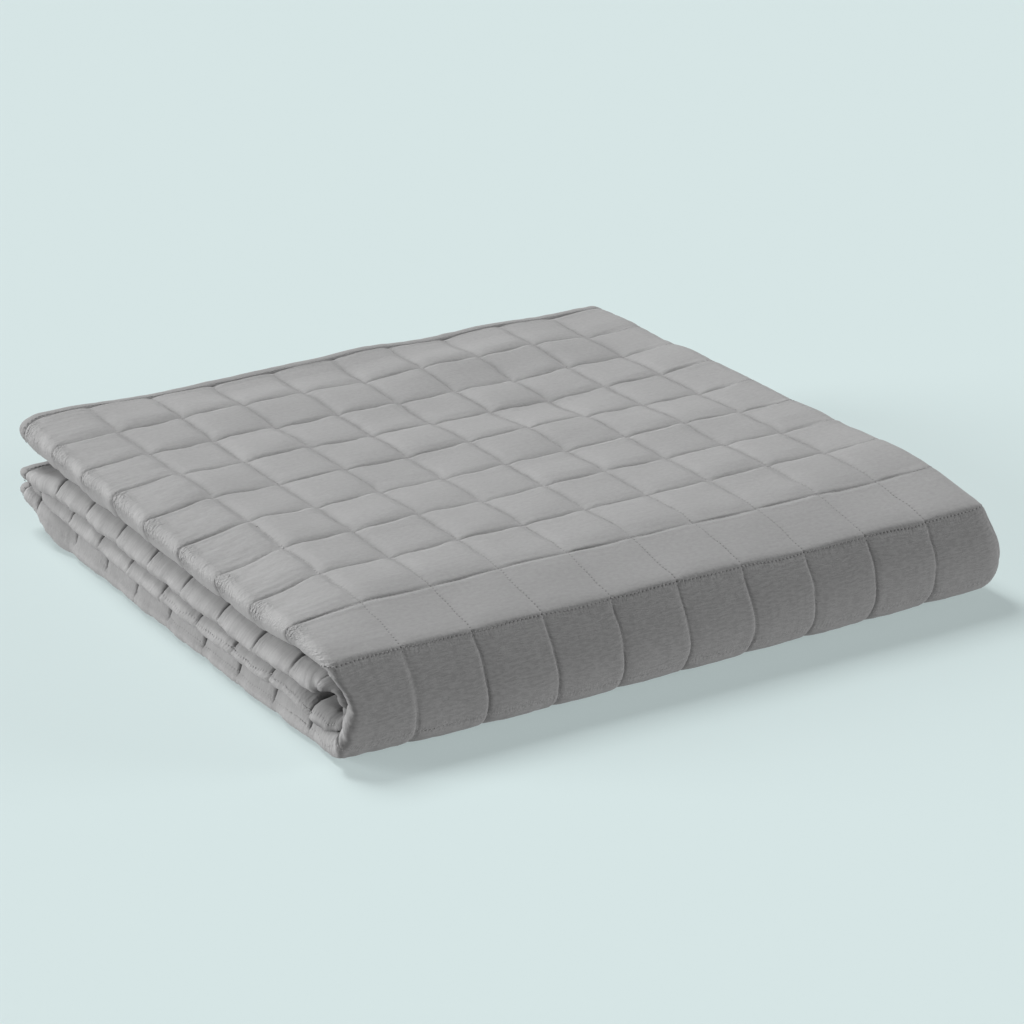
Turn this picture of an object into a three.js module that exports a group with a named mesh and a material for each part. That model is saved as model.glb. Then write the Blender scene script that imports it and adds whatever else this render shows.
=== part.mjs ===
// A quilted sheet with bound edges, folded in four across and then in half, lying flat.
// Millimetres, +Z up. X runs along the front bend from left to right, Y runs back to the loose ends.
//
// The cloth is described by two numbers, both counted in quilted squares: how far across the sheet
// a point lies, from one side edge to the other, and in which row it lies, from the loose end of the
// upper half round the front bend to the loose end of the lower half. A layer's level is the distance
// of its middle from the plane between the two halves.
import * as THREE from 'three';

// Driving dimensions; the squares are a little taller where they go round the front bend,
// and SHOULDER and FOLD_SLACK are shares of a square
const SQUARE = 50;
const BEND_SQUARE = 52.3;
const RIGHT_TIP = 503;
const PACK_HEIGHT = 82.2;
const HALF_PUFF = 4.6;
const HALF_STITCHED = 1.0;
const HALF_PLAIN = 2.8;
const SHOULDER = 0.22;
const FOLD_SLACK = 0.14;
const BINDING_WIDTH = 11;
const BINDING_OVERHANG = 13;
const HALF_BINDING = 2.3;
const HALF_BINDING_EDGE = 1.5;
const SEAM_GAP = 0.3;

// Places of the three folds and of the two side edges, in squares across the sheet
const OUTER_FOLD = 10;
const RIGHT_FOLD = 20.25;
const INNER_FOLD = 30;
const FIRST_COLUMN = 11;
const LAST_COLUMN = 19;
const FLAP = 9.45;
const OUTER_EDGE = OUTER_FOLD - FLAP;
const INNER_EDGE = INNER_FOLD + FLAP;
const FLAP_END_X = 468;

// Levels of the layers, beside the left folds and in the rest of the pack
const MIDDLE = PACK_HEIGHT / 2;
const OUTER = MIDDLE - HALF_PUFF;
const LEVELS = {
  outerFlap: { atFold: 21.2, inPack: 26.4 },
  innerFlap: { atFold: 11.5, inPack: 15.8 },
  inner: 4.9,
};
const SETTLE_FROM = 15;
const SETTLE_TO = 115;

// How far the rounds of the folds reach along X, as shares of half their height
const ROUND = { outer: 1.1, inner: 1.05, right: 0.8 };

// Where the tips of the left folds lie along X, row by row; both are pushed in where they go round
// the front bend.
const LEFT_FOLDS = [
  { row: 0, outer: -1.5, inner: 1.5 },
  { row: 4, outer: -2, inner: 1 },
  { row: 8.4, outer: -1, inner: 3 },
  { row: 9.9, outer: 9, inner: 13 },
  { row: 11.2, outer: -1.5, inner: 3 },
  { row: 15, outer: -2.5, inner: -1.5 },
  { row: 19.5, outer: 0, inner: 1 },
];

// The outer layer's way round the front, from the flat of the top to the flat of the bottom
const FRONT_BEND = [
  { y: -360, z: 77.6 },
  { y: -385, z: 77.4 },
  { y: -410, z: 76.1 },
  { y: -432, z: 72.4 },
  { y: -452, z: 64.6 },
  { y: -463.5, z: 51 },
  { y: -469, z: 36 },
  { y: -470, z: 27.5 },
  { y: -466.5, z: 15.5 },
  { y: -458, z: 7.6 },
  { y: -446, z: 5 },
  { y: -430, z: 4.6 },
];
const APEX = FRONT_BEND[7];
const BEND_SPACING = 0.8;

// The inner layers end this much further in at the loose ends of the upper half
const END_STEP = 7;

// The lower half's left corner curls up at its loose end
const CURL = { height: 6, fromRow: 16.5, toRow: 19.4, fromX: 15, toX: 130 };

const bendCurve = new THREE.CatmullRomCurve3(
  FRONT_BEND.map(({ y, z }) => new THREE.Vector3(0, y, z)),
  false,
  'centripetal',
);
const BEND_START = FRONT_BEND[0];
const BEND_END = FRONT_BEND[FRONT_BEND.length - 1];
const BEND_ROWS = bendCurve.getLength() / BEND_SQUARE;
const LAST_ROW = BEND_ROWS - (BEND_START.y + BEND_END.y) / SQUARE;
const FIRST_SEAM = (BINDING_WIDTH - BINDING_OVERHANG) / SQUARE;
const GAP_ROWS = SEAM_GAP / SQUARE;

const { clamp, lerp, smoothstep } = THREE.MathUtils;

// A value from a table's column, eased between the rows on either side of it
function fromTable(table, column, row) {
  const next = table.findIndex((line) => line.row > row);
  if (next === 0) return table[0][column];
  if (next < 0) return table[table.length - 1][column];
  const [a, b] = [table[next - 1], table[next]];
  return lerp(a[column], b[column], smoothstep(row, a.row, b.row));
}

// Height and depth of a point at a level, in a row: straight on top, round the front, straight below
function alongPack(level, row) {
  const scale = level / OUTER;
  const apexY = APEX.y + BEND_SPACING * (OUTER - level);
  const apexZ = lerp(MIDDLE, APEX.z, scale);
  const startRow = -(apexY + scale * (BEND_START.y - APEX.y)) / SQUARE;
  const endRow = LAST_ROW + (apexY + scale * (BEND_END.y - APEX.y)) / SQUARE;
  if (row <= startRow) {
    const stepIn = END_STEP * (1 - scale) * (1 - smoothstep(row, 0, 2));
    return { y: -SQUARE * row - stepIn, z: MIDDLE + level };
  }
  if (row >= endRow) return { y: -SQUARE * (LAST_ROW - row), z: MIDDLE - level };
  const point = bendCurve.getPointAt(clamp((row - startRow) / (endRow - startRow), 0, 1));
  const height = clamp(point.z, BEND_END.z, BEND_START.z) - APEX.z;
  return { y: apexY + scale * (point.y - APEX.y), z: apexZ + scale * height };
}

// The outermost level, less where the lower corner curls up
function outerLevel(x, row) {
  const lift = smoothstep(row, CURL.fromRow, CURL.toRow) * (1 - smoothstep(x, CURL.fromX, CURL.toX));
  return OUTER - CURL.height * lift;
}

// A flap's level at a distance from the left end
function flapLevel(flap, x) {
  return lerp(flap.atFold, flap.inPack, smoothstep(x, SETTLE_FROM, SETTLE_TO));
}

// Squares taken up by a quarter of a fold's round
function quarter(reach, halfHeight) {
  return (Math.PI / 2) * Math.sqrt((reach ** 2 + halfHeight ** 2) / 2) / SQUARE;
}

// A point of a fold's half round: turn runs from -1, the lower layer, to 1, the upper one
function foldPoint(fold, turn) {
  const angle = (turn * Math.PI) / 2;
  const normal = new THREE.Vector2(
    (fold.side * Math.cos(angle)) / fold.reach,
    Math.sin(angle) / fold.halfHeight,
  ).normalize();
  return {
    x: fold.tip - fold.side * fold.reach * (1 - Math.cos(angle)),
    level: fold.middle + fold.halfHeight * Math.sin(angle),
    normal,
  };
}

function makeFold(side, tip, round, lower, upper) {
  const halfHeight = (upper - lower) / 2;
  const reach = round * halfHeight;
  return {
    side,
    tip,
    reach,
    halfHeight,
    middle: (upper + lower) / 2,
    quarter: quarter(reach, halfHeight),
    inside: tip - side * reach,
  };
}

// Where the outer layer's columns lie: evenly spaced, but for the squares that go into the folds
function columnX(across, outer, right) {
  if (across < FIRST_COLUMN) {
    const start = OUTER_FOLD + outer.quarter;
    return lerp(outer.inside, SQUARE, (across - start) / (FIRST_COLUMN - start));
  }
  if (across > LAST_COLUMN) {
    const end = RIGHT_FOLD - right.quarter;
    return lerp(right.inside, (LAST_COLUMN - OUTER_FOLD) * SQUARE, (end - across) / (end - LAST_COLUMN));
  }
  return (across - OUTER_FOLD) * SQUARE;
}

// The middle of the cloth across the sheet, in one row: its place, its level and its outward normal
function section(across, row) {
  const outerTip = fromTable(LEFT_FOLDS, 'outer', row);
  const innerTip = fromTable(LEFT_FOLDS, 'inner', row);
  const outerTop = outerLevel(outerTip, row);
  const outer = makeFold(-1, outerTip, ROUND.outer, LEVELS.outerFlap.atFold, outerTop);
  const inner = makeFold(-1, innerTip, ROUND.inner, LEVELS.inner, LEVELS.innerFlap.atFold);
  const right = makeFold(1, RIGHT_TIP, ROUND.right, LEVELS.inner, OUTER);
  const up = new THREE.Vector2(0, 1);
  const down = new THREE.Vector2(0, -1);
  const between = (from, to, start, end) => lerp(from, to, (across - start) / (end - start));

  if (across < OUTER_FOLD - outer.quarter) {
    const x = between(FLAP_END_X, outer.inside, OUTER_EDGE, OUTER_FOLD - outer.quarter);
    return { x, level: flapLevel(LEVELS.outerFlap, x), normal: down };
  }
  if (across <= OUTER_FOLD + outer.quarter) {
    return foldPoint(outer, (across - OUTER_FOLD) / outer.quarter);
  }
  if (across < RIGHT_FOLD - right.quarter) {
    const x = columnX(across, outer, right);
    return { x, level: outerLevel(x, row), normal: up };
  }
  if (across <= RIGHT_FOLD + right.quarter) {
    return foldPoint(right, (RIGHT_FOLD - across) / right.quarter);
  }
  if (across < INNER_FOLD - inner.quarter) {
    const x = between(right.inside, inner.inside, RIGHT_FOLD + right.quarter, INNER_FOLD - inner.quarter);
    return { x, level: LEVELS.inner, normal: down };
  }
  if (across <= INNER_FOLD + inner.quarter) {
    return foldPoint(inner, (across - INNER_FOLD) / inner.quarter);
  }
  const x = between(inner.inside, FLAP_END_X, INNER_FOLD + inner.quarter, INNER_EDGE);
  return { x, level: flapLevel(LEVELS.innerFlap, x), normal: up };
}

// A point on a face of the cloth: offset is positive on the outside of the folds
function place(across, row, offset) {
  const middle = section(across, row);
  const { y, z } = alongPack(middle.level + offset * middle.normal.y, row);
  return new THREE.Vector3(middle.x + offset * middle.normal.x, y, z);
}

// How far a value lies from the nearest stitch line; the lines by the folds hardly draw in
const fromLine = (value) => Math.abs(value - Math.round(value));
const onFold = (across) => [OUTER_FOLD, RIGHT_FOLD, INNER_FOLD].map(Math.round).includes(Math.round(across));
const fromColumn = (across) => Math.max(fromLine(across), onFold(across) ? FOLD_SLACK : 0);

// How much of its full height the quilting has at a distance from a seam, from 0 to 1
const risen = (distance) => clamp(distance / SHOULDER, 0, 1);

// How far a point lies in from the nearest bound edge
function fromEdge(across, row) {
  return Math.min(row - FIRST_SEAM, LAST_ROW - FIRST_SEAM - row, across - OUTER_EDGE, INNER_EDGE - across);
}

function quiltedFace(across, row) {
  const rise = risen(Math.min(fromColumn(across), fromLine(row), fromEdge(across, row)));
  return lerp(HALF_STITCHED, HALF_PUFF, rise);
}

function plainFace(across, row) {
  return -lerp(HALF_STITCHED, HALF_PLAIN, risen(fromEdge(across, row)));
}

// Triangles between two lines of points that run the same way, each with its own stations
function zip(a, b, aStations, bStations, flip) {
  const triangles = [];
  let [i, k] = [0, 0];
  while (i < a.length - 1 || k < b.length - 1) {
    const stepA = k === b.length - 1 || (i < a.length - 1 && aStations[i + 1] <= bStations[k + 1]);
    const triangle = stepA ? [a[i], a[i + 1], b[k]] : [b[k + 1], b[k], a[i]];
    triangles.push(flip ? triangle.reverse() : triangle);
    if (stepA) i += 1;
    else k += 1;
  }
  return triangles;
}

// A closed solid between two faces, each a grid of its own stations across and along the rows
function closedSheet(outside, inside) {
  const points = [];
  const grid = ({ across, rows, offset }) =>
    across.map((u) => rows.map((row) => points.push(place(u, row, offset(u, row))) - 1));
  const outer = grid(outside);
  const inner = grid(inside);
  const triangles = [];
  const cover = (face, flip) => {
    for (let i = 0; i + 1 < face.length; i += 1) {
      for (let j = 0; j + 1 < face[i].length; j += 1) {
        const [a, b, c, d] = [face[i][j], face[i][j + 1], face[i + 1][j], face[i + 1][j + 1]];
        triangles.push(flip ? [a, c, b] : [a, b, c], flip ? [c, d, b] : [c, b, d]);
      }
    }
  };
  cover(outer, false);
  cover(inner, true);
  const column = (face, j) => face.map((line) => line.at(j));
  triangles.push(...zip(column(outer, 0), column(inner, 0), outside.across, inside.across, false));
  triangles.push(...zip(column(outer, -1), column(inner, -1), outside.across, inside.across, true));
  triangles.push(...zip(outer[0], inner[0], outside.rows, inside.rows, true));
  triangles.push(...zip(outer.at(-1), inner.at(-1), outside.rows, inside.rows, false));

  const geometry = new THREE.BufferGeometry();
  geometry.setAttribute('position', new THREE.Float32BufferAttribute(points.flatMap((p) => p.toArray()), 3));
  geometry.setIndex(triangles.flat());
  geometry.computeVertexNormals();
  return geometry;
}

// Stations
// Whole squares get a station on the seam and one at each shoulder.
function squareStations(from, to) {
  const list = [];
  for (let line = Math.ceil(from); line <= to; line += 1) list.push(line - SHOULDER, line, line + SHOULDER);
  return list.filter((value) => value > from && value < to);
}

// Folds get evenly spaced stations round their curves, and more where a flap settles beside them.
const FOLD_SPANS = { outer: 0.4, right: 0.46, inner: 0.24 };
const SETTLE_STEPS = [0.78, 1.5, 2.4];

function foldStations(fold, span, count) {
  return Array.from({ length: count + 1 }, (unused, i) => fold + lerp(-span, span, i / count));
}

function acrossStations(outerSteps, rightSteps, innerSteps, topStations) {
  return [
    OUTER_EDGE,
    OUTER_EDGE + SHOULDER,
    ...SETTLE_STEPS.map((step) => OUTER_FOLD - step).reverse(),
    ...foldStations(OUTER_FOLD, FOLD_SPANS.outer, outerSteps),
    ...topStations,
    ...foldStations(RIGHT_FOLD, FOLD_SPANS.right, rightSteps),
    ...foldStations(INNER_FOLD, FOLD_SPANS.inner, innerSteps),
    ...SETTLE_STEPS.map((step) => INNER_FOLD + step),
    INNER_EDGE - SHOULDER,
    INNER_EDGE,
  ];
}

const TOP_STATIONS = squareStations(OUTER_FOLD + 0.5, RIGHT_FOLD - 0.5);
const CURL_STATIONS = [1, 2, 3].map((step) => OUTER_FOLD + step);
const OUTSIDE_ACROSS = acrossStations(8, 8, 8, TOP_STATIONS);
const INSIDE_ACROSS = acrossStations(4, 6, 4, CURL_STATIONS);

const QUILT_START = FIRST_SEAM + GAP_ROWS;
const QUILT_END = LAST_ROW - FIRST_SEAM - GAP_ROWS;
// The rows that go round the front bend get more stations.
const BEND_MIDDLES = [7.5, 8.5, 9.5, 10.5];
const OUTSIDE_ROWS = [
  QUILT_START,
  QUILT_START + SHOULDER,
  ...squareStations(0.5, LAST_ROW - 0.3),
  ...BEND_MIDDLES,
  QUILT_END - SHOULDER,
  QUILT_END,
].sort((a, b) => a - b);
const INSIDE_ROWS = [
  QUILT_START,
  QUILT_START + SHOULDER,
  2,
  4,
  7,
  ...BEND_MIDDLES.flatMap((row) => [row, row + 0.33, row + 0.66]),
  15,
  17.5,
  QUILT_END - SHOULDER,
  QUILT_END,
];

// Sewn pieces
function quilt() {
  return closedSheet(
    { across: OUTSIDE_ACROSS, rows: OUTSIDE_ROWS, offset: quiltedFace },
    { across: INSIDE_ACROSS, rows: INSIDE_ROWS, offset: plainFace },
  );
}

// A binding is thickest between its two edges.
function bindingThickness(from, to, at) {
  const half = (to - from) / 2;
  return lerp(HALF_BINDING, HALF_BINDING_EDGE, Math.abs(at - from - half) / half);
}

// The strip on a loose end follows all four layers and takes in both corners of the sheet.
function endBinding(from, to) {
  const corner = BINDING_WIDTH / SQUARE;
  const rows = [from, (from + to) / 2, to];
  const withCorners = (across) => [OUTER_EDGE - corner, ...across, INNER_EDGE + corner];
  const thickness = (across, row) => bindingThickness(from, to, row);
  return closedSheet(
    { across: withCorners(OUTSIDE_ACROSS), rows, offset: thickness },
    { across: withCorners(INSIDE_ACROSS), rows, offset: (across, row) => -thickness(across, row) },
  );
}

// The strip on a side edge runs between the two end strips, inside the folds.
function sideBinding(from, to) {
  const across = [from, (from + to) / 2, to];
  const thickness = (at) => bindingThickness(from, to, at);
  return closedSheet(
    { across, rows: INSIDE_ROWS, offset: thickness },
    { across, rows: INSIDE_ROWS, offset: (at) => -thickness(at) },
  );
}

const overhang = BINDING_OVERHANG / SQUARE;
const strip = BINDING_WIDTH / SQUARE;
const clothGrey = new THREE.Color('#a09f9d');
const bindingGrey = new THREE.Color('#96928f');
const pieces = [
  { name: 'quilt', geometry: quilt(), color: clothGrey },
  { name: 'binding_top_end', geometry: endBinding(-overhang, FIRST_SEAM), color: bindingGrey },
  {
    name: 'binding_bottom_end',
    geometry: endBinding(LAST_ROW - FIRST_SEAM, LAST_ROW + overhang),
    color: bindingGrey,
  },
  {
    name: 'binding_outer_side',
    geometry: sideBinding(OUTER_EDGE - strip, OUTER_EDGE - GAP_ROWS),
    color: bindingGrey,
  },
  {
    name: 'binding_inner_side',
    geometry: sideBinding(INNER_EDGE + GAP_ROWS, INNER_EDGE + strip),
    color: bindingGrey,
  },
];

// The origin is on the table under the middle of the pack.
const pack = new THREE.Group();
for (const { name, geometry, color } of pieces) {
  const mesh = new THREE.Mesh(geometry, new THREE.MeshStandardMaterial({ color, roughness: 0.95, metalness: 0 }));
  mesh.name = name;
  pack.add(mesh);
}
const box = new THREE.Box3().setFromObject(pack);
const centre = box.getCenter(new THREE.Vector3());
pack.position.set(-centre.x, -centre.y, -box.min.z);
pack.updateMatrixWorld(true);

export default pack;
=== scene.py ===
"""A folded quilted sheet: the quilted cloth, its bound edges and its sewing."""
import math
from functools import partialmethod

import bpy
import numpy as np
from mathutils import Euler, Matrix, Vector


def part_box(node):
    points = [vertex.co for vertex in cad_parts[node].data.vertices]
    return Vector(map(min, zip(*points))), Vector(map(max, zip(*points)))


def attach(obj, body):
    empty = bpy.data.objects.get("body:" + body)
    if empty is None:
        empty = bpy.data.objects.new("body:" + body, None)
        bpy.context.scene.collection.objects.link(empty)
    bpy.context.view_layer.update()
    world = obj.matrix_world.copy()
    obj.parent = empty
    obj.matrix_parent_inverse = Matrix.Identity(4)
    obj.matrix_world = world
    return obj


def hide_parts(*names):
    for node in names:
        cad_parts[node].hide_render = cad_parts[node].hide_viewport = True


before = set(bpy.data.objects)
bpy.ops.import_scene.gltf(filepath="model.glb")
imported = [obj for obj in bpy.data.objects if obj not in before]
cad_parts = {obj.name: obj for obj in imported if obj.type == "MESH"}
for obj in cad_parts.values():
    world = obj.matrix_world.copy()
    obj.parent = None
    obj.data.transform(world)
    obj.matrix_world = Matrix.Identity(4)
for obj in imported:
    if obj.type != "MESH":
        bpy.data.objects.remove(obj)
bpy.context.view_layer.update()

# The sheet's own sizes, in millimetres. Its stitched columns are numbered across and its rows along it.
METRE = 1000.0
SQUARE = 50.0
BEND_SQUARE = 52.3
RIGHT_TIP = 503.0
HALF_PUFF = 4.6
HALF_STITCHED = 1.0
HALF_PLAIN = 2.8
BINDING_WIDTH = 11.0
BINDING_OVERHANG = 13.0
HALF_BINDING = 2.3
SEAM_GAP = 0.3
HALF_STRIP = BINDING_WIDTH / 2.0 / SQUARE

# Columns where the sheet is folded, where its long edges lie, and how far up the outer fold is stitched
OUTER_FOLD = 10.0
BETWEEN_FOLDS = 20.0
RIGHT_FOLD = 20.25
INNER_FOLD = 30.0
FIRST_COLUMN = 11.0
LAST_COLUMN = 19.0
OUTER_EDGE = 0.55
INNER_EDGE = 39.45
STITCHED_ABOVE = 0.1

# Rows of the front: its upper seam, its middle and its lower seam
FRONT_SEAM = 9.0
FRONT_MIDDLE = 9.6
FRONT_FOOT = 10

# Heights of the layers from the middle of the pack, where the flaps end, and how round the folds are
MIDDLE = 41.1
OUTER = 36.5
OUTER_FLAT = 26.4
INNER_FLAT = 15.8
INNER_LEVEL = 4.9
FLAP_END_X = 468.0
INNER_CORNER = 2.2
RIGHT_CORNER = 11.0
ROUNDEST_CORNER = 0.95

# Tables by row for the left folds: how far in the tip lies, the levels of the layers at it, and how far in
# its face leans towards the middle of the pack
OUTER_TIP = {
    0: -1, 1.3: -1, 4: -1.5, 7.6: -1, 9: -1, 9.12: 0, 9.25: 3, 9.45: 5.5, 9.6: 8.5,
    9.7: 4, 9.85: 1, 10.05: -2, 10.35: 2, 10.9: 4, 11.4: 4, 15: 3.5, 18: 3.5,
    18.8: -2.5, 19.5: -3.5,
}
OUTER_FLAP = {
    0: 21.2, 4: 21.2, 7.6: 20.5, 8.5: 20.5, 9: 22, 9.12: 22.5, 9.25: 23, 9.45: 23.5, 9.6: 24.5,
    9.7: 26, 9.85: 28, 10.05: 29, 10.35: 28.5, 10.9: 23, 11.4: 20.6, 15: 20.6, 18: 20,
    18.8: 14, 19.5: 10.5,
}
OUTER_LEAN = {
    0: 5, 1.3: 6.5, 7.6: 6.5, 8.5: 6, 9: 6, 9.12: 7, 9.25: 8, 9.45: 9, 9.7: 9, 9.85: 8,
    10.05: 6, 10.35: 5, 10.9: 6, 15: 6, 18: 5.5, 18.8: 4, 19.5: 2,
}
INNER_TIP = {
    0: -4, 1.3: 7, 4: 7, 7.6: 8, 8.5: 7.5, 9: 8, 9.4: 10, 9.9: 13, 10.4: 9, 10.9: 4,
    11.4: 1, 15: -2, 18: -0.5, 19.5: 2,
}
INNER_FLAP = {
    0: 4, 1.3: 11.5, 4: 11.5, 7.6: 11, 8.5: 13, 9: 15.5, 9.9: 15.5, 10.4: 17, 10.9: 14.5,
    11.4: 11.5, 18: 11.5, 19.5: 7,
}
INNER_RUN = {
    0: -1, 1.3: 4.9, 4: 4.9, 7.6: 5.4, 8.5: 7.5, 9: 11, 9.4: 11.5, 9.9: 11.5, 10.4: 13, 10.9: 9.5,
    11.4: 4.9, 18: 4.9, 19.5: 4,
}
INNER_LEAN = {
    0: 0, 1.3: -8, 4: -9, 7.6: -9, 8.5: -6, 9: -3, 9.4: 0, 9.9: 0, 10.4: 3, 10.9: 6,
    11.4: 6, 15: 7, 18: 6, 19.5: 1,
}

# The outer layer's way round the front, as depths and heights, from the top to the bottom
FRONT_BEND = [
    (-360, 77.6), (-385, 77.6), (-401, 76.4), (-430, 70.6), (-449.5, 66.1), (-453.2, 64.6),
    (-455.4, 61.6), (-459, 56), (-464.6, 47.5), (-468.7, 37.5), (-470, 27.5), (-466.5, 15.5),
    (-458, 7.6), (-446, 5), (-430, 4.6),
]
START_Y, START_Z = FRONT_BEND[0]
APEX_Y, APEX_Z = min(FRONT_BEND)
END_Y, END_Z = FRONT_BEND[-1]
BEND_SPACING = 0.8
END_STEP = 7.0

# Tables by row: the outer fold's corners, the right fold's tip, which bulges out at the foot of the front,
# how full the pillows are, and how deep the row and column seams are
OUTER_CORNERS = {0: 7.2, 1.2: 3.5, 6: 4, 8: 7.5, 9: 7, 9.25: 4.5, 9.9: 5, 10.4: 4.5, 11.4: 3}
RIGHT_TIPS = {
    8: RIGHT_TIP, 9: RIGHT_TIP + 0.5, 10: RIGHT_TIP + 7.5, 10.6: RIGHT_TIP + 7.5, 13: RIGHT_TIP,
}
FULLNESS = {0: 0.6, 0.8: 0.95, 6.5: 0.9, 8.5: 0.72, 9.5: 0.6, 10.6: 0.75, 12: 0.95}
ROW_DEPTH = {0.1: 0.8, 0.6: 1, 7: 1, 8: 0.85, 9: 0.4, 10: 0.3, 11: 0.9}
COLUMN_DEPTH = {0: 0.8, 6.5: 0.75, 8.5: 0.45, 9: 0.6, 9.2: 1, 10.2: 1, 10.6: 0.5, 12: 0.7}

# Tables by distance along the front: how far the loose back edge of the top layer stands up or dips, and
# how far back the front's upper edge and its foot lie
BACK_EDGE = {
    -5: -2, 15: 2.2, 45: 3, 110: 0.6, 160: 2.4, 267: 3.4, 318: 1.4, 373: 2.2, 500: 1,
}
FRONT_SKEW = {50: 5.5, 130: 4.5, 270: 0, 450: -4}
FOOT_SKEW = {0: 6.5, 60: 3.5, 130: 0.5, 200: 0}

# Tables by distance from the back: the dip behind the front edge, and how much the layers sag at the left,
# which depends on their height too
TOP_DIP = {0: 0, 45: 2.2, 100: -2.8, 150: -2.5, 210: 0}
SAG_DEPTHS = {0: 0.15, 60: 0.4, 200: 0.8, 300: 1.3, 350: 1.5, 400: 0.8, 440: 0, 475: 0}
SAG_HEIGHTS = {0: 0, 20: 2.5, 41: 5, 57: 5, 80: 6.5}
ROLL_DROP = 8.0
CURL_HEIGHT = 21.0

# Where something starts and ends
SETTLING_X = (15, 115)
CURLED_ROWS = (18.2, 19.45)
CURLED_X = (8, 95)
LOOSE_ROWS = (-0.1, 0.55)
STEPPED_ROWS = (0, 2)
LIFTED_ROWS = (8.6, 10.4)
UPPER_HEIGHTS = (15, 55)
SKEWED_DEPTHS = (330, 440)
SAGGING_X = (-4, 62)
ROLL_LEVELS = (15, 21)
ROLL_DEPTHS = (370, 435)
CREASED_ROWS = (8.6, 9.05)
END_SEAM_ROWS = (0.05, 0.3)
GENTLER_SHARES = (0.15, 0.9)

# Where something starts, is full, is full no more and ends
RUFFLED_ROWS = (8.8, 9.3, 10.3, 10.9)
BUNCHED_ROWS = (8.7, 9.1, 10.3, 10.8)
FRONT_ROWS = (8.9, 9.2, 10.3, 10.8)
BOWED_ROWS = (0, 0.8, 6.5, 8.8)
RIGHT_TURN = (19.1, 19.75, 21, 22)
DIPPING_X = (130, 320, 420, 480)

# The upper side of each left fold, in half turns from its middle, where the row seams are deep
UPPER_SIDE = (-0.3, 0.6)
LOWEST_SIDE = (-0.35, 0.35)
INNER_SIDE = (-0.8, 0.1)
OUTER_HALF_TURN = 0.187
INNER_HALF_TURN = 0.09

# Seams and pinches: depths are shares of the puff, and widths and reaches are shares of a square
BEHIND_LEFT = 0.045
BEHIND_RIGHT = 0.085
AHEAD_WIDTH = 0.015
EDGE_WIDTH = 0.022
SIDE_WIDTH = 0.02
EDGE_REACH = 0.5
SHARPER_SHARE = 0.45
SHARPER_REACH = 0.45
NOTCH_DEPTH = 1.25
NOTCH_WIDTH = 0.025
NOTCH_FADE = 0.14
NOTCH_SHARE = 0.5
COLUMN_WIDTHS = (0.05, 0.085)
COLUMN_ROUND = 0.03
CREASE_WIDTH = 0.013
CREASE_FADE = 0.09
CREASE_SHARE = 0.6
ROW_BOW = 0.045
RIGHT_SMOOTHING = 0.9
END_SEAM_DEPTH = 0.9
FOLD_SEAM_DEPTH = 0.35
FOLD_SEAM_REACH = 0.45
UNDERSIDE_DEPTH = 0.12
BOTTOM_DEPTH = 0.03
BOTTOM_REACH = 1.8
SIDE_DEPTH = 0.8
BUNCHED_REACH = 0.6
BAND_PINCHES = [9.55, 10.3]
BAND_PINCH_WIDTH = 0.06
BAND_PINCH_DEPTH = 0.75
RIM_PINCHES = [9.3, 9.62]
RIM_PINCH_WIDTH = 0.03
RIM_PINCH_DEPTH = 0.5
RIM_REACH = 0.3

# Pillows, and small unevenness: its size, its typical lengths across and along, and its seed
CROWN = 0.2
TIP_FULLNESS = 1.15
BAND_FULLNESS = 0.1
PILLOW_CHANCE = 0.08
PILLOWS = np.random.default_rng(3).normal(size=(42, 22))
PLAIN_REACH = 0.22
PLAIN_FOLD_REACHES = (0.5, 0.4)
PUCKER_REACHES = (0.16, 0.12)
TOP_UNEVENNESS = (0.7, 160.0, 120.0, 5)
COLUMN_WANDER = (0.010, 2.0, 0.9, 1)
ROW_WANDER = (0.008, 1.8, 2.5, 2)
CREASES = (0.14, 0.7, 0.16, 7)
FRONT_CREASES = (0.1, 0.25, 1.4, 8)
PUCKERS = (0.12, 0.6, 0.09, 9)
RUFFLE = (0.5, 0.9, 1.0)
FRONT_RUFFLE = (0.5, 0.25, 1.0)
OUTER_SEED = 31
INNER_SEED = 32
FRONT_SEED_STEP = 10


def smoothstep(value, start, end):
    share = np.clip((value - start) / (end - start), 0.0, 1.0)
    return share * share * (3.0 - 2.0 * share)


def spanned(value, span):
    """1 where a span is full, eased to 0 at its start and its end."""
    start, full, last, end = span
    return smoothstep(value, start, full) * (1.0 - smoothstep(value, last, end))


def near(value, line, reach):
    """1 on a line, falling to 0 at the reach."""
    return 1.0 - smoothstep(np.abs(value - line), 0.0, reach)


def by_folds(across, outer_reach, inner_reach):
    """1 on a left fold, falling to 0 at its reach."""
    return np.maximum(near(across, OUTER_FOLD, outer_reach), near(across, INNER_FOLD, inner_reach))


def from_table(table, at):
    """A table's value at a place, eased between the places in it."""
    places = np.array(list(table))
    values = np.array(list(table.values()))
    first = np.clip(np.searchsorted(places, at, side="right") - 1, 0, len(places) - 2)
    share = smoothstep(at, places[first], places[first + 1])
    return values[first] + (values[first + 1] - values[first]) * share


def waves(a, b, size, length_a, length_b, seed, count=11):
    """Smooth unevenness of a size, with the given typical lengths along a and b."""
    chance = np.random.default_rng(seed)
    total = np.zeros(np.broadcast(a, b).shape)
    for _ in range(count):
        pace_a = chance.normal() / length_a
        pace_b = chance.normal() / length_b
        phase = chance.uniform(0.0, 2.0 * math.pi)
        total += np.sin(2.0 * math.pi * (pace_a * a + pace_b * b) + phase)
    return size * total * math.sqrt(2.0 / count)


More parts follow.
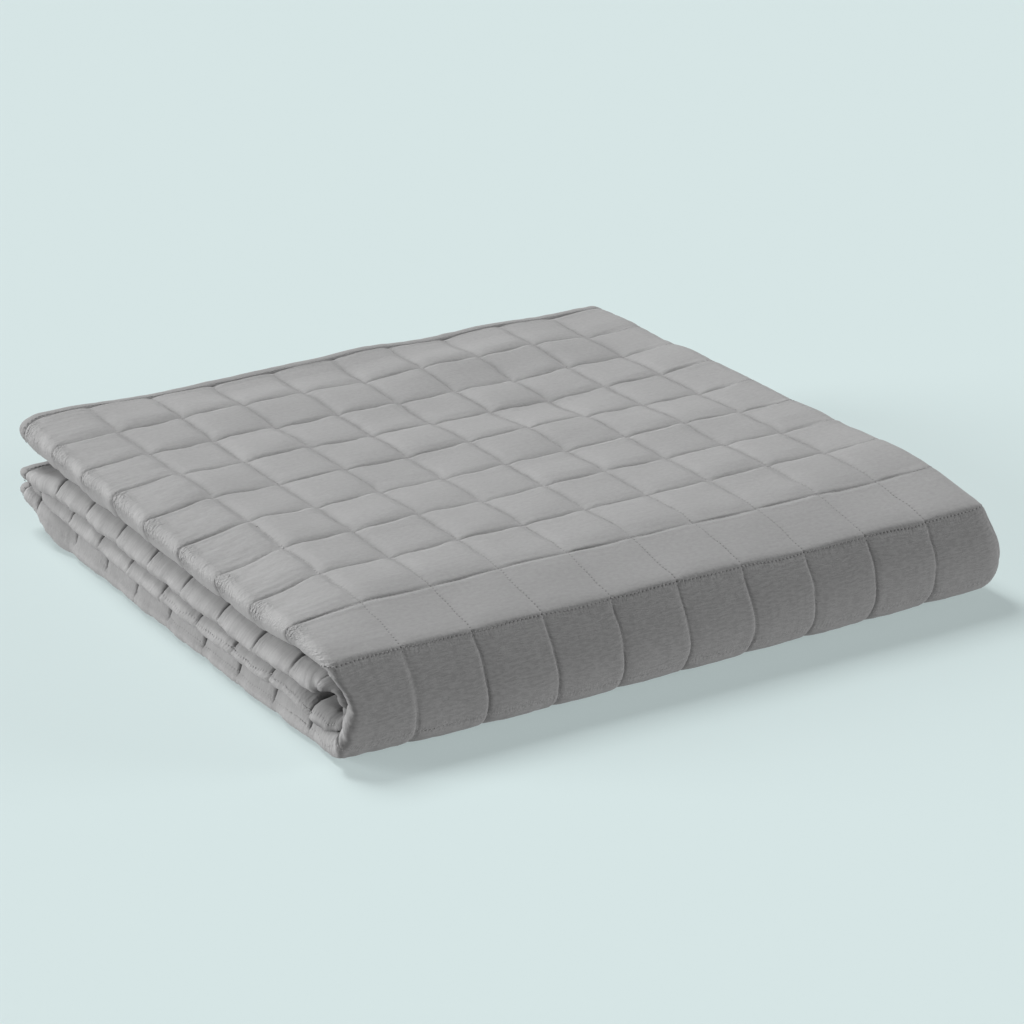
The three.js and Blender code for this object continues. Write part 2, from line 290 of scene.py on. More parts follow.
def bend_path(steps=60):
    """Points of the front bend on a smooth curve, and their distances along it."""
    points = np.array(FRONT_BEND)
    points = np.vstack([2 * points[0] - points[1], points, 2 * points[-1] - points[-2]])
    gaps = np.diff(points, axis=0)
    paces = np.sqrt(np.linalg.norm(gaps, axis=1))[:, None]
    slopes = gaps / paces
    slopes = slopes[:-1] + slopes[1:] - (points[2:] - points[:-2]) / (paces[:-1] + paces[1:])
    start, gap, pace = points[1:-2], gaps[1:-1], paces[1:-1]
    lead, trail = slopes[:-1] * pace, slopes[1:] * pace
    square = 3 * gap - 2 * lead - trail
    cube = lead + trail - 2 * gap
    share = np.linspace(0.0, 1.0, steps, endpoint=False)[:, None, None]
    path = start + lead * share + square * share**2 + cube * share**3
    path = np.vstack([path.swapaxes(0, 1).reshape(-1, 2), FRONT_BEND[-1]])
    lengths = np.concatenate([[0.0], np.cumsum(np.linalg.norm(np.diff(path, axis=0), axis=1))])
    return path, lengths


BEND_POINTS, BEND_LENGTHS = bend_path()
LAST_ROW = BEND_LENGTHS[-1] / BEND_SQUARE - (START_Y + END_Y) / SQUARE
FIRST_SEAM = (BINDING_WIDTH - BINDING_OVERHANG) / SQUARE
LAST_SEAM = LAST_ROW - FIRST_SEAM
LAST_LINE = math.floor(LAST_ROW)
SHIFT = (
    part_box("quilt")[1].x * METRE - (RIGHT_TIP + HALF_PUFF),
    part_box("binding_bottom_end")[1].y * METRE - BINDING_OVERHANG,
    0.0,
)


def along_pack(level, row):
    """Depth and height at a level, in a row: straight on top, round the front, straight below."""
    scale = level / OUTER
    apex_y = APEX_Y + BEND_SPACING * (OUTER - level)
    apex_z = MIDDLE + (APEX_Z - MIDDLE) * scale
    start = -(apex_y + scale * (START_Y - APEX_Y)) / SQUARE
    end = LAST_ROW + (apex_y + scale * (END_Y - APEX_Y)) / SQUARE
    at = np.clip((row - start) / (end - start), 0.0, 1.0) * BEND_LENGTHS[-1]
    bend_y = np.interp(at, BEND_LENGTHS, BEND_POINTS[:, 0])
    bend_z = np.clip(np.interp(at, BEND_LENGTHS, BEND_POINTS[:, 1]), END_Z, START_Z)
    step_in = END_STEP * (1.0 - scale) * (1.0 - smoothstep(row, *STEPPED_ROWS))
    on_top = row <= start
    below = row >= end
    y = apex_y + scale * (bend_y - APEX_Y)
    z = apex_z + scale * (bend_z - APEX_Z)
    y = np.where(on_top, -SQUARE * row - step_in, np.where(below, -SQUARE * (LAST_ROW - row), y))
    z = np.where(on_top, MIDDLE + level, np.where(below, MIDDLE - level, z))
    return y, z


def outer_level(x, row):
    """The outermost level, less where the lower corner curls up."""
    lift = smoothstep(row, *CURLED_ROWS) * (1 - smoothstep(x, *CURLED_X))
    return OUTER - CURL_HEIGHT * lift


def settled(at_fold, in_pack, x):
    """A flap's level, from its fold to where it lies flat in the pack."""
    return at_fold + (in_pack - at_fold) * smoothstep(x, *SETTLING_X)


class Fold:
    """The turn between two layers: a flat face with a round corner at each end. side is -1 at the left."""

    def __init__(self, line, side, tip, corner, lower, upper, lean=0.0):
        self.line, self.side, self.tip, self.lean = line, side, tip, lean
        self.half_height = (upper - lower) / 2.0
        self.middle = (upper + lower) / 2.0
        self.corner = np.minimum(corner, ROUNDEST_CORNER * self.half_height)
        self.flat = self.half_height - self.corner
        self.quarter = (self.flat + math.pi / 2.0 * self.corner) / SQUARE
        self.start, self.end = line - self.quarter, line + self.quarter
        self.inside_upper = tip - side * self.corner
        self.inside_lower = self.inside_upper - side * lean

    def at(self, across):
        """Place, level and outward direction at a column."""
        way = np.clip(-self.side * (across - self.line) / self.quarter, -1.0, 1.0) * self.quarter * SQUARE
        angle = np.clip((np.abs(way) - self.flat) / self.corner, 0.0, math.pi / 2.0)
        rise = np.sign(way) * (np.minimum(np.abs(way), self.flat) + self.corner * np.sin(angle))
        lean = self.lean * (0.5 - 0.5 * rise / self.half_height)
        x = self.tip - self.side * (self.corner * (1.0 - np.cos(angle)) + lean)
        return x, self.middle + rise, self.side * np.cos(angle), np.sign(way) * np.sin(angle)


def tip_x(tips, seed, row):
    """How far in a left fold's tip lies: it is ruffled, and more so round the front."""
    ruffle = waves(row, 0.0, *RUFFLE, seed)
    front_ruffle = waves(row, 0.0, *FRONT_RUFFLE, seed + FRONT_SEED_STEP)
    return from_table(tips, row) + (ruffle + spanned(row, RUFFLED_ROWS) * front_ruffle)


def section(across, row):
    """The middle of the cloth across the sheet, in one row: place, level and outward direction."""
    outer_tip = tip_x(OUTER_TIP, OUTER_SEED, row)
    inner_tip = tip_x(INNER_TIP, INNER_SEED, row)
    outer_flap = from_table(OUTER_FLAP, row)
    inner_flap = from_table(INNER_FLAP, row)
    inner_run = from_table(INNER_RUN, row)
    outer_line = OUTER_FOLD - STITCHED_ABOVE * (1.0 - smoothstep(row, *LIFTED_ROWS))
    outer_corner = from_table(OUTER_CORNERS, row)
    outer_top = outer_level(outer_tip, row)
    outer = Fold(outer_line, -1, outer_tip, outer_corner, outer_flap, outer_top, from_table(OUTER_LEAN, row))
    inner = Fold(INNER_FOLD, -1, inner_tip, INNER_CORNER, inner_run, inner_flap, from_table(INNER_LEAN, row))
    right = Fold(RIGHT_FOLD, 1, from_table(RIGHT_TIPS, row), RIGHT_CORNER, INNER_LEVEL, OUTER)

    def between(start, end, x_start, x_end):
        return x_start + (x_end - x_start) * (across - start) / (end - start)

    first_x = between(outer.end, FIRST_COLUMN, outer.inside_upper, (FIRST_COLUMN - OUTER_FOLD) * SQUARE)
    last_x = between(LAST_COLUMN, right.start, (LAST_COLUMN - OUTER_FOLD) * SQUARE, right.inside_upper)
    even_x = (across - OUTER_FOLD) * SQUARE
    top_x = np.select([across < FIRST_COLUMN, across > LAST_COLUMN], [first_x, last_x], even_x)
    inner_x = between(right.end, inner.start, right.inside_lower, inner.inside_lower)
    outer_flap_x = between(OUTER_EDGE, outer.start, FLAP_END_X, outer.inside_lower)
    inner_flap_x = between(inner.end, INNER_EDGE, inner.inside_upper, FLAP_END_X)
    aside, up = np.zeros_like(across), np.ones_like(across)
    where = [across < outer.start, across <= outer.end, across < right.start]
    where += [across <= right.end, across < inner.start, across <= inner.end]
    choices = [
        (outer_flap_x, settled(outer_flap, OUTER_FLAT, outer_flap_x), aside, -up),
        outer.at(across),
        (top_x, outer_level(top_x, row), aside, up),
        right.at(across),
        (inner_x, settled(inner_run, INNER_LEVEL, inner_x), aside, -up),
        inner.at(across),
    ]
    last = (inner_flap_x, settled(inner_flap, INNER_FLAT, inner_flap_x), aside, up)
    return [np.select(where, [choice[part] for choice in choices], last[part]) for part in range(4)]


def place(across, row, offset):
    """A point on a face of the cloth: offset is positive on the outside of the folds."""
    across, row = np.broadcast_arrays(np.asarray(across, float), np.asarray(row, float))
    x, level, out_x, out_level = section(across, row)
    x = x + offset * out_x
    y, z = along_pack(level + offset * out_level, row)
    top_share = smoothstep(z, MIDDLE, MIDDLE + OUTER)
    loose = 1.0 - smoothstep(row, *LOOSE_ROWS)
    z = z + top_share * loose * from_table(BACK_EDGE, x)
    z = z + top_share * waves(x, y, *TOP_UNEVENNESS)
    upper_share = smoothstep(z, *UPPER_HEIGHTS)
    skew = upper_share * from_table(FRONT_SKEW, x) + (1.0 - upper_share) * from_table(FOOT_SKEW, x)
    z = z + top_share * spanned(x, DIPPING_X) * from_table(TOP_DIP, -y)
    y = y + smoothstep(-y, *SKEWED_DEPTHS) * skew
    at_left = 1.0 - smoothstep(x, *SAGGING_X)
    drop = from_table(SAG_HEIGHTS, z) * from_table(SAG_DEPTHS, -y)
    in_roll = 1.0 - smoothstep(level, *ROLL_LEVELS)
    z = z - (drop + ROLL_DROP * in_roll * smoothstep(-y, *ROLL_DEPTHS)) * at_left
    return np.stack([x, y, np.maximum(z, 0.0)], axis=-1)


def grid(across, row):
    """The stitched grid's own columns and rows, which wander, and rows bow forwards in each square."""
    column = across + waves(across, row, *COLUMN_WANDER)
    bow = np.sin(math.pi * column) ** 2 * spanned(row, BOWED_ROWS)
    return column, row + waves(across, row, *ROW_WANDER) - ROW_BOW * bow


class Spot:
    """How points of the cloth lie to the folds: shares from 0 to 1, and true or false."""

    def __init__(self, across, row):
        on_outer = across < BETWEEN_FOLDS
        above, below = row < FRONT_MIDDLE, row > FRONT_MIDDLE
        bottom_edge = below & on_outer & (across > OUTER_FOLD)
        self.upper_edge = above & on_outer
        self.fold_near = by_folds(across, FOLD_SEAM_REACH, FOLD_SEAM_REACH)
        self.lower_folds = np.where(self.upper_edge, 0.0, self.fold_near)
        self.bunched = near(across, INNER_FOLD, BUNCHED_REACH) * spanned(row, BUNCHED_ROWS)
        self.front = spanned(row, FRONT_ROWS)
        fold = np.where(on_outer, OUTER_FOLD, INNER_FOLD)
        from_fold = (across - fold) / np.where(on_outer, OUTER_HALF_TURN, INNER_HALF_TURN)
        uphill = np.where(above, from_fold, -from_fold)
        sides = [smoothstep(uphill, *side) for side in (UPPER_SIDE, LOWEST_SIDE, INNER_SIDE)]
        top_side = np.select([self.upper_edge, below & on_outer], sides[:2], sides[2])
        calm = np.where(bottom_edge, near(across, OUTER_FOLD, BOTTOM_REACH), self.fold_near)
        self.top_side = np.maximum(top_side, 1.0 - calm)
        depths = [SIDE_DEPTH, BOTTOM_DEPTH]
        self.underside = np.select([self.upper_edge, bottom_edge], depths, UNDERSIDE_DEPTH)


def column_profile(from_column, row):
    """A column seam's share of its depth: soft on the top, a crease on the front."""
    left = from_column < 0.0
    apart = np.abs(from_column)
    rounded = np.hypot(apart, COLUMN_ROUND) - COLUMN_ROUND
    top = np.exp(-rounded / np.where(left, *COLUMN_WIDTHS))
    sharp = np.exp(-apart / CREASE_WIDTH)
    soft = np.exp(-apart / CREASE_FADE)
    front = np.where(left, sharp, CREASE_SHARE * sharp + (1.0 - CREASE_SHARE) * soft)
    return top + (front - top) * smoothstep(row, *CREASED_ROWS)


def row_profile(spot, column, row, to_row, behind):
    """A row seam's share of its depth: it falls gently behind the seam and sharply ahead of it."""
    gentler = smoothstep(column - np.floor(column), *GENTLER_SHARES)
    width = BEHIND_LEFT + (BEHIND_RIGHT - BEHIND_LEFT) * gentler
    width = width * (1.0 - SHARPER_SHARE * near(row, FRONT_SEAM - 1.0, SHARPER_REACH))
    width = width + (EDGE_WIDTH - width) * near(row, FRONT_SEAM, EDGE_REACH) * (1.0 - spot.fold_near)
    width = width + (SIDE_WIDTH - width) * spot.upper_edge * (1.0 - spot.top_side)
    seam = np.exp(-to_row / np.where(behind, width, AHEAD_WIDTH))
    notch = NOTCH_SHARE * np.exp(-to_row / NOTCH_WIDTH) + (1.0 - NOTCH_SHARE) * np.exp(-to_row / NOTCH_FADE)
    return seam + (notch - seam) * spot.lower_folds * behind


def seam_depths(spot, across, row):
    """How deep the column seams and the row seams are."""
    columns = from_table(COLUMN_DEPTH, row)
    columns = columns + (FOLD_SEAM_DEPTH - columns) * spot.fold_near
    columns = np.maximum(columns, END_SEAM_DEPTH * (1.0 - smoothstep(row, *END_SEAM_ROWS)))
    rows = from_table(ROW_DEPTH, row) * (spot.underside + (1.0 - spot.underside) * spot.top_side)
    rows = rows * (1.0 - RIGHT_SMOOTHING * spanned(across, RIGHT_TURN))
    rows = rows + (BAND_PINCH_DEPTH - rows) * spot.bunched
    return columns, rows * (1.0 + (NOTCH_DEPTH - 1.0) * spot.lower_folds)


def drawn_in(row, places, width, depth):
    """The share of the puff that is left where the cloth is pinched."""
    left = 1.0
    for pinch in places:
        left = left * (1.0 - depth * np.exp(-np.abs(row - pinch) / width))
    return left


def quilted(across, row):
    """Half the cloth's thickness on the outside face: pillows between the stitched lines."""
    column, line = grid(across, row)
    from_column = column - np.rint(column)
    from_row = line - np.clip(np.rint(line), 1, LAST_LINE)
    behind = (np.where(row < FRONT_MIDDLE, from_row, -from_row) < 0.0) & (line > 0.5)
    to_column = np.abs(from_column)
    to_row = np.minimum(np.abs(from_row), np.minimum(line - FIRST_SEAM, LAST_SEAM - line))
    to_row = np.clip(to_row, 0.0, 0.5)
    spot = Spot(across, row)
    column_depth, row_depth = seam_depths(spot, across, row)
    rise = 1.0 - column_depth * column_profile(from_column, row)
    rise = rise * (1.0 - row_depth * row_profile(spot, column, row, to_row, behind))
    rise = rise * drawn_in(row, BAND_PINCHES, BAND_PINCH_WIDTH, BAND_PINCH_DEPTH * spot.bunched)
    on_rim = spot.front * near(across, OUTER_FOLD + OUTER_HALF_TURN, RIM_REACH)
    rise = rise * drawn_in(row, RIM_PINCHES, RIM_PINCH_WIDTH, RIM_PINCH_DEPTH * on_rim)
    crown = 1.0 - CROWN * ((1.0 - 2.0 * to_column) ** 2 + (1.0 - 2.0 * to_row) ** 2) / 2.0
    columns, rows = PILLOWS.shape
    chance = PILLOWS[np.floor(column).astype(int) % columns, np.floor(line).astype(int) % rows]
    puff = (HALF_PUFF - HALF_STITCHED) * from_table(FULLNESS, row) * (1.0 + PILLOW_CHANCE * chance)
    puff = puff * (1.0 + (TIP_FULLNESS - 1.0) * spot.lower_folds) * (1.0 + BAND_FULLNESS * spot.bunched)
    uneven = (1.0 - spot.front) * waves(across, row, *CREASES)
    uneven = uneven + spot.front * waves(across, row, *FRONT_CREASES)
    uneven = uneven + by_folds(across, *PUCKER_REACHES) * waves(across, row, *PUCKERS)
    return HALF_STITCHED + puff * rise * crown + uneven * rise * (1.0 - spot.bunched)


def plain(across, row):
    """Half the cloth's thickness on the inside face, which is hidden in the folds."""
    edge = np.minimum.reduce([row - FIRST_SEAM, LAST_SEAM - row, across - OUTER_EDGE, INNER_EDGE - across])
    full = HALF_PLAIN - (HALF_PLAIN - HALF_STITCHED) * by_folds(across, *PLAIN_FOLD_REACHES)
    return HALF_STITCHED + (full - HALF_STITCHED) * smoothstep(edge, 0.0, PLAIN_REACH)


# Where the points of the meshes stand: steps in a square, then where each spacing starts
CLOSE_STEPS = [0.0, 0.011, 0.028, 0.054, 0.095, 0.155, 0.23, 0.32, 0.42]
CLOSER_STEPS = [0.0, 0.015, 0.034, 0.058, 0.087, 0.12, 0.16, 0.2, 0.245, 0.29, 0.335, 0.38, 0.425, 0.475]
LOOSE_STEPS = [0.0, 0.05, 0.14, 0.3]
HIDDEN_STEPS = [0.0, 0.1, 0.3]
TOP_END_ROW = 10.8
LEAST_STEP = 0.012
OUTER_TURN = (9.25, 10.6)
INNER_TURN = (29.4, 30.6)
TOP_END = 20.75
FLAP_STEP = 0.2925
OUTER_TURN_STEP = 0.04
INNER_TURN_STEP = 0.035
INNER_RUN_STEP = 0.24
INSIDE_ROW_STEP = 0.3
INSIDE_SPACINGS = {OUTER_EDGE: 0.56, 9.5: 0.0625, 10.5: 0.5, 19.7: 0.07, 20.8: 0.55, 29.6: 0.05, 30.4: 0.57}
STRIP_OVERHANG = 0.21
STRIP_SPACINGS = {
    OUTER_EDGE - STRIP_OVERHANG: 0.3, 9.4: 0.035, 10.7: 0.1, 19.6: 0.045, 20.9: 0.3, 29.5: 0.03, 30.5: 0.3,
}


def squares(start, end, steps):
    """Stations from start to end, with the same steps from every line."""
    offsets = np.concatenate([steps, 1.0 - np.array(steps[1:])[::-1]])
    whole = np.concatenate([number + offsets for number in range(math.floor(start), math.ceil(end))])
    inside = whole[(whole > start + LEAST_STEP) & (whole < end - LEAST_STEP)]
    return np.concatenate([[start], inside, [end]])


def even(start, end, spacing):
    return np.linspace(start, end, int(round((end - start) / spacing)) + 1)


def spaced(spacings, last):
    """Stations up to the last, with spacings that change at the given places."""
    bounds = [*spacings, last]
    runs = [even(start, end, apart)[:-1] for start, end, apart in zip(bounds, bounds[1:], spacings.values())]
    return np.concatenate([*runs, [last]])


class MeshParts:
    """Points, faces and cloth coordinates gathered for one mesh."""

    def __init__(self):
        self.points, self.coordinates, self.faces, self.count = [], [], [], 0

    def add(self, points, across, row):
        """Adds points with their places on the sheet."""
        first = self.count
        self.points.append(points)
        self.coordinates.append(np.stack([across, row], axis=-1) * SQUARE / METRE)
        self.count += len(points)
        return np.arange(first, self.count)

    def quads(self, a, b):
        """Quads between two lists of points of the same length."""
        self.faces.extend(np.stack([a[:-1], a[1:], b[1:], b[:-1]], axis=1).tolist())

    def zip(self, a, a_keys, b, b_keys, flip=False):
        """Triangles between two lists of points, joined by the nearest keys."""
        i, j = 0, 0
        while i < len(a) - 1 or j < len(b) - 1:
            if j == len(b) - 1 or (i < len(a) - 1 and a_keys[i + 1] <= b_keys[j + 1]):
                face = [a[i], a[i + 1], b[j]]
                i += 1
            else:
                face = [a[i], b[j + 1], b[j]]
                j += 1
            self.faces.append([int(k) for k in (face[::-1] if flip else face)])

    def build(self, name):
        mesh = bpy.data.meshes.new(name)
        points = (np.vstack(self.points) + np.array(SHIFT)) / METRE
        mesh.from_pydata(points.tolist(), [], self.faces)
        corners = np.zeros(len(mesh.loops), dtype=np.int32)
        mesh.loops.foreach_get("vertex_index", corners)
        layer = mesh.uv_layers.new(name="cloth")
        layer.uv.foreach_set("vector", np.vstack(self.coordinates)[corners].astype(np.float32).ravel())
        mesh.shade_smooth()
        mesh.update()
        piece = bpy.data.objects.new(name, mesh)
        bpy.context.scene.collection.objects.link(piece)
        return piece


def face(parts, columns, height, side):
    """One face of the cloth: columns is a list of a place across and the rows along it."""
    lists = []
    for across, rows in columns:
        at = np.full(len(rows), across)
        lists.append(parts.add(place(at, rows, side * height(at, rows)), *grid(at, rows)))
    for (_, a_rows), (_, b_rows), a, b in zip(columns, columns[1:], lists, lists[1:]):
        if len(a) == len(b) and np.array_equal(a_rows, b_rows):
            parts.quads(a, b) if side > 0 else parts.quads(b, a)
        else:
            parts.zip(a, a_rows, b, b_rows, flip=side < 0)
    return lists


def quilt():
    """The quilted cloth: its outside face, its inside face and the edges between them."""
    first, last = FIRST_SEAM + SEAM_GAP / SQUARE, LAST_SEAM - SEAM_GAP / SQUARE
    top_rows = squares(first, TOP_END_ROW, CLOSE_STEPS)[:-1]
    top_rows = np.concatenate([top_rows, squares(TOP_END_ROW, last, LOOSE_STEPS)])
    tip_rows = squares(first, last, CLOSER_STEPS)
    hidden_rows = squares(first, last, HIDDEN_STEPS)
    inside_rows = even(first, last, INSIDE_ROW_STEP)
    zones = [
        (even(OUTER_EDGE, OUTER_TURN[0], FLAP_STEP)[:-1], hidden_rows),
        (even(*OUTER_TURN, OUTER_TURN_STEP)[:-1], tip_rows),
        (squares(OUTER_TURN[1], FIRST_COLUMN, CLOSE_STEPS)[:-1], tip_rows),
        (squares(FIRST_COLUMN, TOP_END, CLOSE_STEPS), top_rows),
        (even(TOP_END, INNER_TURN[0], INNER_RUN_STEP)[1:-1], hidden_rows),
        (even(*INNER_TURN, INNER_TURN_STEP), tip_rows),
        (even(INNER_TURN[1], INNER_EDGE, FLAP_STEP)[1:], hidden_rows),
    ]
    outside = [(across, rows) for stations, rows in zones for across in stations]
    inside = [(across, inside_rows) for across in spaced(INSIDE_SPACINGS, INNER_EDGE)]
    parts = MeshParts()
    outer = face(parts, outside, quilted, 1)
    inner = face(parts, inside, plain, -1)
    outer_keys, inner_keys = [c[0] for c in outside], [c[0] for c in inside]
    for end, flip in ((0, False), (-1, True)):
        parts.zip([c[end] for c in outer], outer_keys, [c[end] for c in inner], inner_keys, flip)
    for side, flip in ((0, True), (-1, False)):
        parts.zip(outer[side], outside[side][1], inner[side], inside[side][1], flip)
    return parts.build("quilted_cloth")


# Bound edges: shares of a strip's half width and half thickness, and how they vary along it
RING = 14
RING_POWERS = (0.7, 0.75)
STRIP_FULLNESS = 0.95
STRIP_THINNER = 0.35
STRIP_FOLD_REACH = 0.4
SIDE_STRIP_STEP = 0.2
SIDE_STRIP_INSET = 0.02
SIDE_STRIP_GAP = 0.006
STRIP_WIDTHS = (0.05, 0.6, 1.0)
STRIP_THICKNESSES = (0.06, 0.4, 1.0)


def tape(name, stations, ring_at):
    """A closed strip: a ring of points at each station, and a cap on each end."""
    parts = MeshParts()
    rings = [parts.add(*ring_at(station)) for station in stations]
    for a, b in zip(rings, rings[1:]):
        parts.quads(np.append(a, a[0]), np.append(b, b[0]))
    parts.faces.append(rings[0].tolist())
    parts.faces.append(rings[-1][::-1].tolist())
    return parts.build(name)


def ring_shape():
    """A rounded strip's cross-section: shares of half its width, and of half its thickness."""
    angle = np.linspace(0.0, 2.0 * math.pi, RING, endpoint=False)
    turns = zip((np.cos(angle), np.sin(angle)), RING_POWERS)
    return [np.sign(turn) * np.abs(turn) ** power for turn, power in turns]


def end_binding(name, middle_row, seed):
    """The strip round a short end of the sheet, a little wavy along its length."""
    wide, thick = ring_shape()

    def ring_at(across):
        at = np.full(RING, across)
        widths = waves(across, 0.0, *STRIP_WIDTHS, seed)
        rows = middle_row + HALF_STRIP * (1.0 + widths) * wide
        thinner = STRIP_THINNER * by_folds(across, STRIP_FOLD_REACH, STRIP_FOLD_REACH)
        thicknesses = waves(across, 0.0, *STRIP_THICKNESSES, seed + 1)
        half_thick = HALF_BINDING * (STRIP_FULLNESS - thinner + thicknesses)
        return place(at, rows, half_thick * thick), at, rows

    return tape(name, spaced(STRIP_SPACINGS, INNER_EDGE + STRIP_OVERHANG), ring_at)


def side_binding(name, middle_across):
    """The strip along a long edge of the sheet, inside the pack."""
    wide, thick = ring_shape()

    def ring_at(row):
        rows = np.full(RING, row)
        at = middle_across - HALF_STRIP * wide
        return place(at, rows, HALF_BINDING * thick), at, rows

    stations = even(FIRST_SEAM + SIDE_STRIP_INSET, LAST_SEAM - SIDE_STRIP_INSET, SIDE_STRIP_STEP)
    return tape(name, stations, ring_at)


# Stitches: how many a square has, their size in millimetres, and the columns and rows where they show
STITCHES = 17
PITCH = 1.0 / STITCHES
STITCH_LENGTH = 2.3
STITCH_WIDTH = 0.75
STITCH_HEIGHT = 0.5
FULL_SHARE = 0.6
SIDES = 5
STITCH_LIFT = 0.15
COLUMN_LIFT = -0.05
FOLD_LIFT = 0.15
FOOT_LIFT = -0.1
SEWN_LIFT = -0.02
SEWN_INSET = 0.045
SEWN_LEVEL = 0.93
SLOPE_STEP = 0.01
SHOWN_ACROSS = [(9.5, 20.7), (29.55, 30.5)]
SHOWN_BELOW = [(9.5, 10.0), (10.6, 20.7), (29.55, 30.5)]
STITCHED_COLUMNS = [*range(10, 21), 30]
FIRST_STITCH = FIRST_SEAM + 0.06
LAST_STITCH = LAST_SEAM - 0.05
FOLD_STITCH_ROWS = (10.4, 14.0)
UNDER_STITCH_ROW = 10.8


def stitch_shape():
    """One stitch lying along x: a bar that is pinched at its ends."""
    angle = np.linspace(0.0, 2.0 * math.pi, SIDES, endpoint=False)
    width, height = STITCH_WIDTH / 2 * np.cos(angle), STITCH_HEIGHT / 2 * np.sin(angle)
    ring = np.stack([np.zeros(SIDES), width, height], axis=1)
    end = STITCH_LENGTH / 2
    full = (FULL_SHARE * end, 0, 0)
    dip = -STITCH_HEIGHT / 2
    points = np.vstack([(-end, 0.0, dip), ring - full, ring + full, (end, 0.0, dip)])
    faces = []
    for k in range(SIDES):
        near_this, near_next = 1 + k, 1 + (k + 1) % SIDES
        far_this, far_next = near_this + SIDES, near_next + SIDES
        faces.append([0, near_next, near_this])
        faces.append([near_this, near_next, far_next, far_this])
        faces.append([far_this, far_next, 1 + 2 * SIDES])
    return points, faces


def stitches(parts, across, row, along_row, height, lift):
    """A row of stitches at the given places, each lying on the face and along its line."""
    def surface(a, r):
        return place(a, r, height(a, r))

    by_across = surface(across + SLOPE_STEP, row) - surface(across - SLOPE_STEP, row)
    by_line = surface(across, row + SLOPE_STEP) - surface(across, row - SLOPE_STEP)
    normal = np.cross(by_line, by_across)
    normal /= np.linalg.norm(normal, axis=1)[:, None]
    tangent = by_across if along_row else by_line
    tangent = tangent - normal * np.sum(tangent * normal, axis=1)[:, None]
    tangent /= np.linalg.norm(tangent, axis=1)[:, None]
    axes = np.stack([tangent, np.cross(normal, tangent), normal], axis=1)
    shape, faces = stitch_shape()
    points = (surface(across, row) + normal * lift)[:, None] + shape @ axes
    points[..., 2] = np.maximum(points[..., 2], 0.0)
    count = len(shape)
    numbers = parts.add(points.reshape(-1, 3), np.repeat(across, count), np.repeat(row, count))
    for corners in faces:
        parts.faces.extend(numbers.reshape(-1, count)[:, corners].tolist())


def on_line(across, row, along_row):
    """Places on a stitched line: the grid wanders, so they are moved onto it."""
    for _ in range(3):
        column, line = grid(across, row)
        if along_row:
            row = row + (np.rint(line) - line)
        else:
            across = across + (np.rint(column) - column)
    return across, row


def row_stitches():
    parts = MeshParts()
    for line in range(1, LAST_LINE + 1):
        lift = FOOT_LIFT if line == FRONT_FOOT else STITCH_LIFT
        for start, end in SHOWN_BELOW if line > FRONT_FOOT else SHOWN_ACROSS:
            across, row = on_line(np.arange(start, end, PITCH), float(line), True)
            stitches(parts, across, row, True, quilted, lift)
    return parts.build("row_stitches")


def column_stitches():
    parts = MeshParts()
    all_rows = np.arange(FIRST_STITCH, LAST_STITCH, PITCH)
    first, last = FOLD_STITCH_ROWS
    by_corner = all_rows[(all_rows > first) & (all_rows < last)]
    on_faces = all_rows[(all_rows < FRONT_SEAM) | (all_rows > UNDER_STITCH_ROW)]
    for line in STITCHED_COLUMNS:
        on_fold = line in (OUTER_FOLD, INNER_FOLD)
        rows = by_corner if on_fold else on_faces
        across, row = on_line(float(line), rows, False)
        stitches(parts, across, row, False, quilted, FOLD_LIFT if on_fold else COLUMN_LIFT)
    return parts.build("column_stitches")


def binding_stitches():
    """The sewing along the inner edge of each end's strip."""
    parts = MeshParts()

    def strip_level(across, row):
        return HALF_BINDING * SEWN_LEVEL

    for row_at in (FIRST_SEAM - SEWN_INSET, LAST_SEAM + SEWN_INSET):
        for start, end in SHOWN_ACROSS:
            across = np.arange(start, end, PITCH)
            stitches(parts, across, np.full(len(across), row_at), True, strip_level, SEWN_LIFT)
    return parts.build("binding_stitches")


def set_inputs(tree, made, inputs):
    """Sets a shader node's inputs to plain values, or links them to other nodes' results."""
    for name, value in inputs.items():
        if isinstance(value, bpy.types.NodeSocket):
            tree.links.new(value, made.inputs[name])
        else:
            made.inputs[name].default_value = value


def node(tree, kind, inputs=None, **settings):
    """A shader node with its settings and inputs."""
    made = tree.nodes.new(kind)
    for name, value in settings.items():
        setattr(made, name, value)
    set_inputs(tree, made, inputs or {})
    return made


class Value:
    """A number worked out in a shader, which can be added to, multiplied and compared."""

    def __init__(self, tree, socket):
        self.tree, self.socket = tree, socket

    def put(self, operation, *others):
        """A maths node's result: the other terms are values or plain numbers."""
        terms = [term.socket if isinstance(term, Value) else term for term in (self, *others)]
        made = node(self.tree, "ShaderNodeMath", dict(enumerate(terms)), operation=operation)
        return Value(self.tree, made.outputs["Value"])

    def __rsub__(self, other):
        return self.put("MULTIPLY_ADD", -1.0, other)

    __add__ = partialmethod(put, "ADD")
    __sub__ = partialmethod(put, "SUBTRACT")
    __mul__ = partialmethod(put, "MULTIPLY")
    __truediv__ = partialmethod(put, "DIVIDE")
    __lt__ = partialmethod(put, "LESS_THAN")
    __gt__ = partialmethod(put, "GREATER_THAN")
    __abs__ = partialmethod(put, "ABSOLUTE")


def to_nearest(value):
    """How far a value is from the nearest whole number."""
    return abs(value - value.put("ROUND"))


def within(value, middle, reach):
    """1 nearer to the middle than the reach, and 0 elsewhere."""
    return abs(value - middle) < reach


def fading(apart, reach):
    """1 at no distance, falling evenly to 0 at the reach."""
    return (1.0 - apart / reach).put("MAXIMUM", 0.0)


